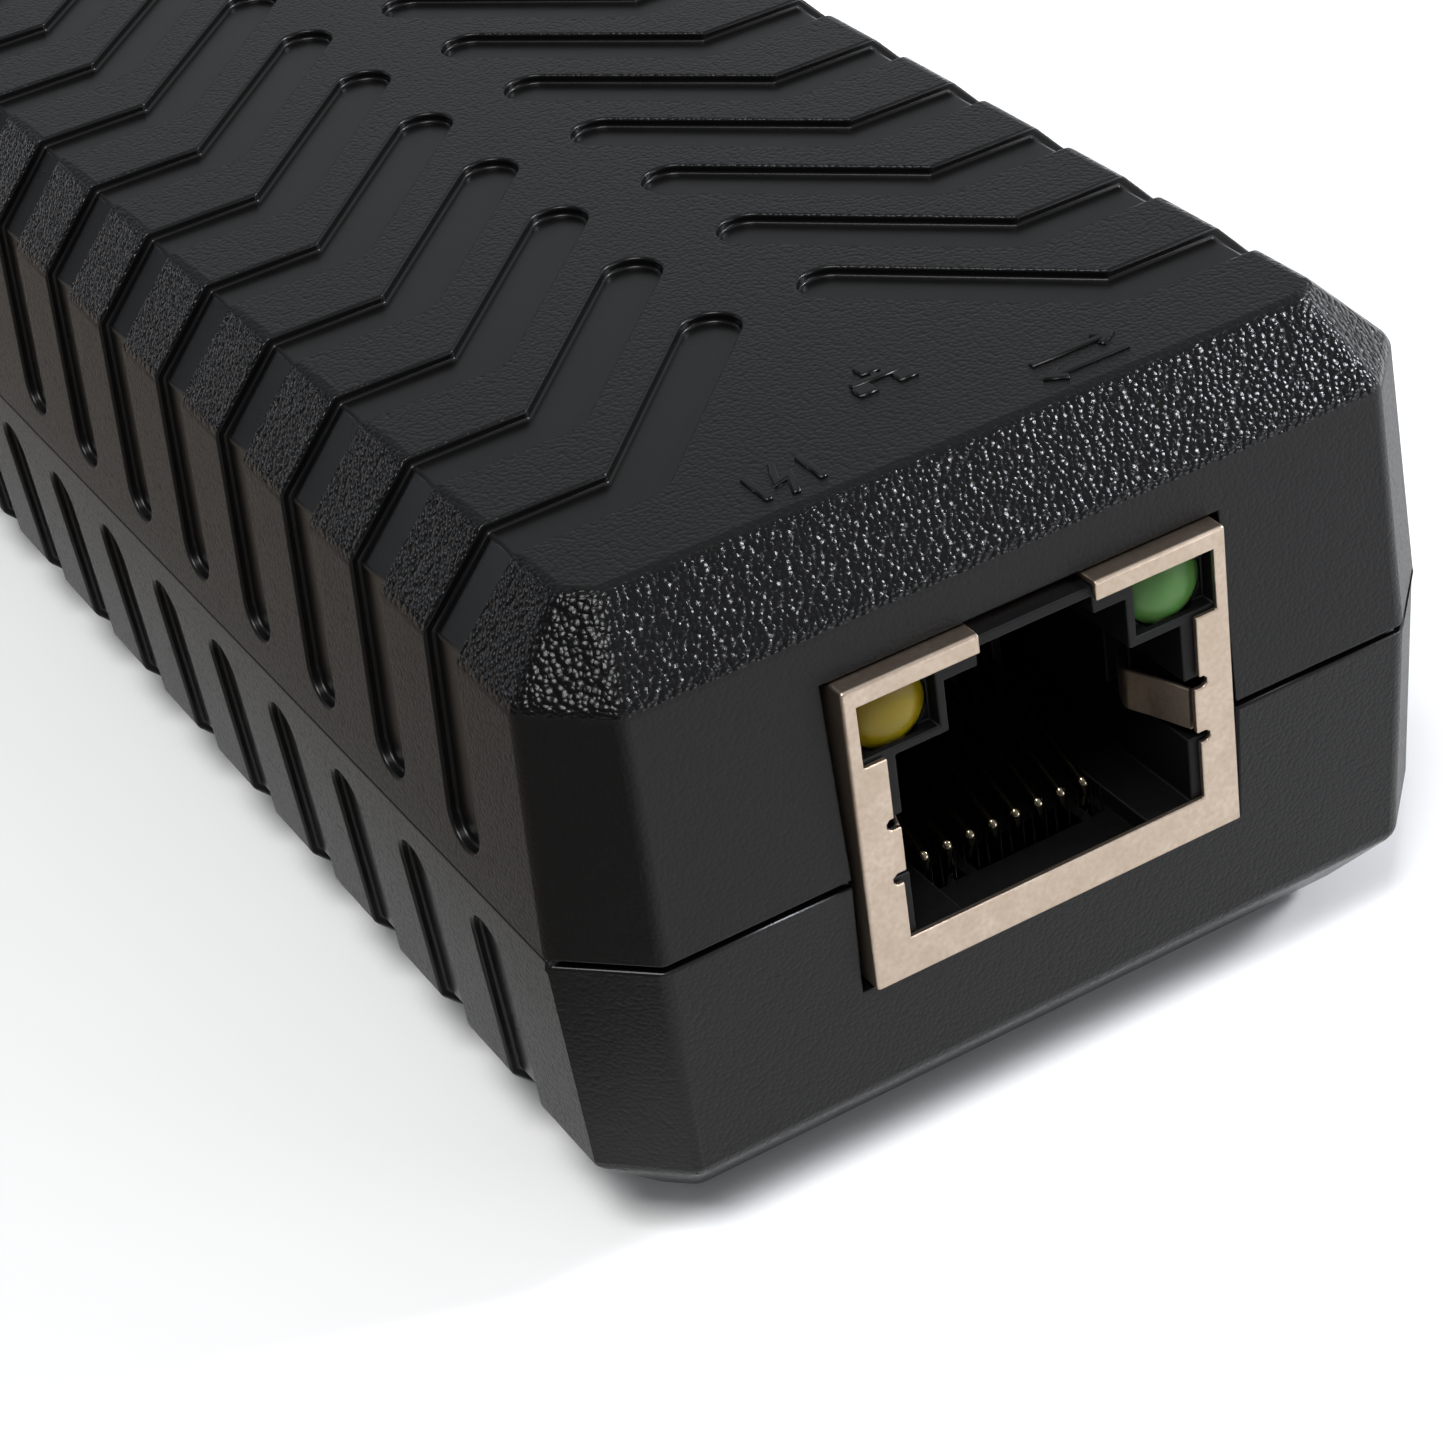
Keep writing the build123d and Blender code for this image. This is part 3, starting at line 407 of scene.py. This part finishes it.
def carried(path, profile, side):
    # a closed profile carried along a flat path: each point is the path's point plus
    # the profile's first value along side and its second along side crossed with the tangent
    tangent = np.gradient(path, axis=0)
    tangent /= np.linalg.norm(tangent, axis=1, keepdims=True)
    side = np.array(side, float)
    up = np.cross(side, tangent)
    return path[:, None, :] + profile[None, :, :1] * side + profile[None, :, 1:] * up[:, None, :]


def surface(pieceName, grids, inside=False):
    # grids of points, closed round their second way and capped at both ends
    verts, faces, base = [], [], 0
    for grid in grids:
        rows, columns = grid.shape[:2]
        index = np.arange(rows * columns).reshape(rows, columns) + base
        turned = np.roll(index, -1, axis=1)
        quads = np.stack([index[:-1], turned[:-1], turned[1:], index[1:]], axis=-1).reshape(-1, 4)
        verts.append(grid.reshape(-1, 3))
        faces += quads.tolist() + [index[0][::-1].tolist(), index[-1].tolist()]
        base += rows * columns
    piece = meshObject(pieceName, np.concatenate(verts).tolist(), faces)
    made = bmesh.new()
    made.from_mesh(piece.data)
    bmesh.ops.remove_doubles(made, verts=made.verts, dist=0.0005 * mm)
    bmesh.ops.recalc_face_normals(made, faces=made.faces)
    made.to_mesh(piece.data)
    made.free()
    return piece


def roundProfile(radius, count=20):
    angle = np.linspace(0, 2 * math.pi, count, endpoint=False)
    return np.stack([np.cos(angle), np.sin(angle)], axis=1) * radius


def turnedAlongY(rings, x, z, count=48):
    # a shape of revolution: rings are rows of place along Y and radius
    rings = np.array(rings, float)
    angle = np.linspace(0, 2 * math.pi, count, endpoint=False)
    places = np.broadcast_to(rings[:, :1], (len(rings), count))
    return np.stack([x + rings[:, 1:] * np.cos(angle), places, z + rings[:, 1:] * np.sin(angle)], axis=-1)


# the two modular sockets: where the face is, which way it looks, and the board's height
case = {"length": 104.0, "boardTop": 8.95}
jacks = {
    "out": {"face": -case["length"] / 2 - 0.30, "way": 1, "x": 0.0},
    "in": {"face": case["length"] / 2 + 0.30, "way": -1, "x": 6.6},
}


def placed(grid, face, way, x):
    # from a socket's own frame, face at y = 0 and board at z = 0, to the case, in metres
    out = grid * np.array([way, way, 1.0])
    return (out + np.array([x, face, case["boardTop"]])) * mm


contact = {"count": 8, "pitch": 1.02, "radius": 0.21, "bendIn": 3.65, "bendHigh": 1.60, "rise": 22.0,
           "reach": 9.0, "gap": 0.03, "run": 0.40, "pinIn": 18.1, "pinStep": 2.0, "pinLow": -2.8,
           "footDrop": 0.30, "neck": 0.45}


# round wires side by side: a free one rises from its bend at the given slope, and a fixed
# one runs back low down and turns to its pin, in two rows
def contactGrids(free):
    footY, footZ = contact["bendIn"], contact["bendHigh"] - contact["footDrop"]
    rise = math.radians(contact["rise"])
    grids = []
    for i in range(contact["count"]):
        x = (i - (contact["count"] - 1) / 2) * contact["pitch"]
        if free:
            points = [(x, footY, footZ + contact["gap"]), (x, footY, footZ + contact["neck"]),
                      (x, footY + contact["reach"] * math.cos(rise),
                       footZ + contact["neck"] + contact["reach"] * math.sin(rise))]
            path = roundedPath(points, [0.24], 12)
        else:
            pin = contact["pinIn"] - (contact["pinStep"] if i % 2 else 0.0)
            points = [(x, pin, contact["pinLow"]), (x, pin, contact["run"]), (x, footY, contact["run"]),
                      (x, footY, footZ)]
            path = roundedPath(points, [0.35, 0.3], 10)
        grids.append(carried(path, roundProfile(contact["radius"]), (1, 0, 0)))
    return grids


finger = {"root": (6.37, 0.35), "path": [(5.75, 2.1), (5.35, 3.05), (5.75, 3.9)], "radii": [1.6, 0.5],
          "sheet": 0.2, "low": 4.67, "high": 6.47}


# a flat strip with softened corners, carried along the finger's plan path at its middle height
def fingerGrid(side):
    middle = (finger["low"] + finger["high"]) / 2
    points = [(x * side, y, middle) for x, y in [finger["root"]] + finger["path"]]
    path = roundedPath(points, finger["radii"], 12)
    half, tall, soft = finger["sheet"] / 2, (finger["high"] - finger["low"]) / 2, 0.05
    profile = np.array([(tall - soft, half), (tall, half - soft), (tall, soft - half),
                        (tall - soft, -half), (soft - tall, -half), (-tall, soft - half),
                        (-tall, half - soft), (soft - tall, half)])
    return carried(path, profile, (0, 0, 1))


for name, jack in jacks.items():
    for free, kind in ((True, "contact_springs"), (False, "contact_tails")):
        node = f"{name}_jack_{kind}"
        grids = [placed(grid, jack["face"], jack["way"], jack["x"]) for grid in contactGrids(free)]
        piece = surface(f"{name}Jack{'Springs' if free else 'Tails'}", grids)
        finish(piece, node if free else "injector", [node], [plain["goldFlashedBronze"]], 40)
    for side, word in ((1, "right"), (-1, "left")):
        node = f"{name}_jack_finger_{word}"
        grid = placed(fingerGrid(side), jack["face"], jack["way"], jack["x"])
        piece = surface(f"{name}JackFinger{word.title()}", [grid])
        finish(piece, node, [node], [nickel], 40)
print("contact wires and ground fingers made")


# lamps: a barrel with a bowed lens, and two leads each
lamp = {"out": 5.9, "high": 10.88, "radius": 1.55, "front": 0.32, "back": 5.0, "bow": 0.60, "leadOut": 0.9,
        "leadRadius": 0.25, "drop": 20.55, "low": -2.8}
ball = (lamp["radius"] ** 2 + lamp["bow"] ** 2) / (2 * lamp["bow"])
lens = np.linspace(0, math.asin(lamp["radius"] / ball), 16)
lensRings = np.stack([lamp["front"] + ball * (1 - np.cos(lens)), ball * np.sin(lens)], axis=1)
rim = 0.08      # rounding at the back of the barrel
barrelRings = [(lamp["back"] - rim, lamp["radius"]), (lamp["back"], lamp["radius"] - rim),
               (lamp["back"], 0.0)]
for side, word, material in ((-1, "yellow", yellowEpoxy), (1, "green", greenEpoxy)):
    grid = turnedAlongY(np.concatenate([lensRings, barrelRings]), side * lamp["out"], lamp["high"])
    piece = surface(f"{word}Lamp", [placed(grid, jacks["out"]["face"], 1, 0.0)])
    finish(piece, "injector", [f"out_led_{word}"], [material], 40)
leadGrids = []
for x in (-lamp["out"] - lamp["leadOut"], -lamp["out"] + lamp["leadOut"],
          lamp["out"] - lamp["leadOut"], lamp["out"] + lamp["leadOut"]):
    path = roundedPath([(x, lamp["back"] + 0.02, lamp["high"]), (x, lamp["drop"], lamp["high"]),
                        (x, lamp["drop"], lamp["low"])], [0.4])
    leadGrids.append(placed(carried(path, roundProfile(lamp["leadRadius"], 12), (1, 0, 0)),
                            jacks["out"]["face"], 1, 0.0))
finish(surface("lampLeads", leadGrids), "injector", ["out_led_leads"],
       [plain["tinnedCopper"]], 40)

# power inlet: turned centre pin with a round nose, and the leaf under it
inlet = {"x": -7.6, "face": case["length"] / 2 - 0.9, "axis": 6.5, "radius": 1.05, "start": 1.0,
         "end": 14.5}
nose = np.linspace(0, math.pi / 2, 8)
noseRound = inlet["radius"] * 0.6
noseRings = np.stack([inlet["start"] + noseRound * (1 - np.sin(nose)),
                      inlet["radius"] - noseRound * (1 - np.cos(nose))], axis=1)[::-1]
pinRings = [(inlet["start"], 0.0)] + noseRings.tolist()
pinRings += [(inlet["end"], inlet["radius"]), (inlet["end"], 0.0)]
grid = turnedAlongY(pinRings, 0.0, inlet["axis"], 32)
finish(surface("inletPin", [placed(grid, inlet["face"], -1, inlet["x"])]), "injector",
       ["dc_jack_pin"], [plain["tinnedCopper"]], 40)
leafPath = roundedPath([(0, 8.6, 2.85), (0, 5.7, 4.0), (0, 4.6, 4.0), (0, 3.2, 3.0)], [1.5, 0.8], 10)
leafProfile = np.array([(1.0, 0.1), (0.97, 0.125), (-0.97, 0.125), (-1.0, 0.1), (-1.0, -0.1),
                        (-0.97, -0.125), (0.97, -0.125), (1.0, -0.1)])
grid = placed(carried(leafPath, leafProfile, (1, 0, 0)), inlet["face"], -1, inlet["x"])
finish(surface("inletLeaf", [grid]), "dc_jack_leaf", ["dc_jack_leaf"],
       [plain["tinnedCopper"]], 40)
print("lamps and power inlet made")

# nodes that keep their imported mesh
kept = {
    "rubber_feet": "blackRubber", "line_transformer_leads": "tinnedCopper",
    "power_controller_leads": "tinnedCopper", "capacitor_leads": "tinnedCopper",
    "bulk_capacitors": "drawnAluminium", "capacitor_sleeves": "shrunkSleeve",
    "choke_core": "sinteredFerrite", "choke_windings": "enamelledCopper",
}
for node, kind in kept.items():
    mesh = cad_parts[node].data
    mesh.materials.clear()
    mesh.materials.append(plain[kind])
print("packed nodes finished")


# stage: pale floor, a card of painted shade that only reflections see, soft lights and the camera
stage = {"floor": 6.0, "tone": "#f2f2f1", "glowFrom": 0.35, "glowTo": 1.3, "farGlow": 0.75,
         "bright": 0.64, "dim": 0.15, "brightWay": (0.85, 0.0, 0.5), "dimFrom": -0.3, "brightFrom": 0.55}
half = stage["floor"] / 2
floor = meshObject("floor", [(-half, -half, 0), (half, -half, 0), (half, half, 0), (-half, half, 0)],
                   [(0, 1, 2, 3)])
floorPaint, floorTree, floorShader, floorPlace = newMaterial("paleFloor", Roughness=0.9,
                                                             Specular_IOR_Level=0.1)
dust = addNode(floorTree, "ShaderNodeTexNoise", {"Vector": floorPlace, "Scale": 40.0, "Detail": 3.0})
floorTone = addNode(floorTree, "ShaderNodeMix", {"Factor": dust.outputs["Fac"], "A": linear(stage["tone"]),
                    "B": linear("#f6f6f5")}, data_type="RGBA")
floorTree.links.new(floorTone.outputs["Result"], floorShader.inputs["Base Color"])
# far from the lights the floor glows by itself, so that it stays pale to its edges
floorReach = addNode(floorTree, "ShaderNodeVectorMath", {0: floorPlace}, operation="LENGTH")
farGlow = addNode(floorTree, "ShaderNodeMapRange", {"Value": floorReach.outputs["Value"],
                  "From Min": stage["glowFrom"], "From Max": stage["glowTo"], "To Min": 0.0,
                  "To Max": stage["farGlow"]})
floorTree.links.new(farGlow.outputs["Result"], floorShader.inputs["Emission Strength"])
floorShader.inputs["Emission Color"].default_value = linear(stage["tone"])
floor.data.materials.append(floorPaint)

# the card lies left of the case, where the key light's shade would be, and glows a dim warm grey as painted
# shade: corner and side of the case reflect this painted shade in place of the bright floor
card = {"low": (-320, -130), "high": (-26, 260), "height": 0.3, "tone": "#8f867c",
        "glowFrom": (-70, 0.7), "glowTo": (10, 1.8)}
(cardLeft, cardFront), (cardRight, cardBack) = np.array(card["low"]) * mm, np.array(card["high"]) * mm
shade = meshObject("shadeCard", [(x, y, card["height"] * mm) for x, y in (
    (cardLeft, cardFront), (cardRight, cardFront), (cardRight, cardBack), (cardLeft, cardBack))],
                   [(0, 1, 2, 3)])
# this material is painted shade: a dim warm glow with no lit colour of its own, seen only in reflections
shadePaint, shadeTree, shadeShader, shadePlace = newMaterial("paintedShadeCard", Base_Color=linear("#000000"),
                                                             Roughness=1.0)
# a random mottle in the painted shade's tone
shadeMottle = addNode(shadeTree, "ShaderNodeTexNoise", {"Vector": shadePlace, "Scale": 30.0})
shadeTone = addNode(shadeTree, "ShaderNodeMix", {"Factor": shadeMottle.outputs["Fac"],
                    "A": linear(card["tone"]), "B": linear("#7d746a")}, data_type="RGBA")
shadeAxes = addNode(shadeTree, "ShaderNodeSeparateXYZ", {"Vector": shadePlace})
# the painted shade's glow lightens from the front of the case towards its back
shadeGlow = addNode(shadeTree, "ShaderNodeMapRange", {"Value": shadeAxes.outputs["Y"],
                    "From Min": card["glowFrom"][0] * mm, "From Max": card["glowTo"][0] * mm,
                    "To Min": card["glowFrom"][1], "To Max": card["glowTo"][1]})
shadeTree.links.new(shadeTone.outputs["Result"], shadeShader.inputs["Emission Color"])
shadeTree.links.new(shadeGlow.outputs["Result"], shadeShader.inputs["Emission Strength"])
shade.data.materials.append(shadePaint)
shade.visible_camera = shade.visible_diffuse = shade.visible_shadow = shade.visible_transmission = False

world = bpy.data.worlds.new("softStudio")
bpy.context.scene.world = world
world.use_nodes = True
world.node_tree.nodes.clear()
skyWay = addNode(world.node_tree, "ShaderNodeTexCoord").outputs["Generated"]
skySide = addNode(world.node_tree, "ShaderNodeVectorMath", {0: skyWay, 1: stage["brightWay"]},
                  operation="DOT_PRODUCT")      # the room is brighter up and to the right
skyGlow = addNode(world.node_tree, "ShaderNodeMapRange", {"Value": skySide.outputs["Value"],
                  "From Min": stage["dimFrom"], "From Max": stage["brightFrom"], "To Min": stage["dim"],
                  "To Max": stage["bright"]})
sky = addNode(world.node_tree, "ShaderNodeBackground", {"Color": linear("#e9ecf0"),
              "Strength": skyGlow.outputs["Result"]})
addNode(world.node_tree, "ShaderNodeOutputWorld", {"Surface": sky.outputs["Background"]})

# each soft light: place and target in millimetres, size in millimetres, watts, colour
lights = {
    "frontBox": ((540, -215, 318), (0, -45, 15), (130, 100), 3.8, "#f6f8ff"),
    "lowStrip": ((330, -480, 105), (0, -50, 20), (240, 70), 0.5, "#fbfaff"),
    "backBox": ((-420, 520, 330), (-10, 0, 20), (160, 100), 0.3, "#eef3ff"),
    "overhead": ((-260, -260, 700), (0, -20, 0), (300, 300), 4.9, "#ffffff"),
}
for name, (position, target, size, watts, colour) in lights.items():
    data = bpy.data.lights.new(name, "AREA")
    data.shape = "RECTANGLE"
    data.size, data.size_y = size[0] * mm, size[1] * mm
    data.energy = watts
    data.color = linear(colour)[:3]
    light = bpy.data.objects.new(name, data)
    bpy.context.scene.collection.objects.link(light)
    light.location = Vector(position) * mm
    light.rotation_euler = (Vector(target) - Vector(position)).to_track_quat("-Z", "Y").to_euler()

view = {"lens": 90.03, "sensor": 36.0, "place": (-55.57, -141.998, 90.356),
        "turn": (55.5122, 7.1916, -30.4988)}      # millimetres and degrees
lensData = bpy.data.cameras.new("camera")
lensData.lens = view["lens"]
lensData.sensor_width = view["sensor"]
lensData.clip_start = 0.01
camera = bpy.data.objects.new("camera", lensData)
bpy.context.scene.collection.objects.link(camera)
camera.location = Vector(view["place"]) * mm
camera.rotation_euler = Euler([math.radians(a) for a in view["turn"]], "XYZ")
bpy.context.scene.camera = camera
bpy.context.scene.view_settings.view_transform = "Standard"
print("stage made")
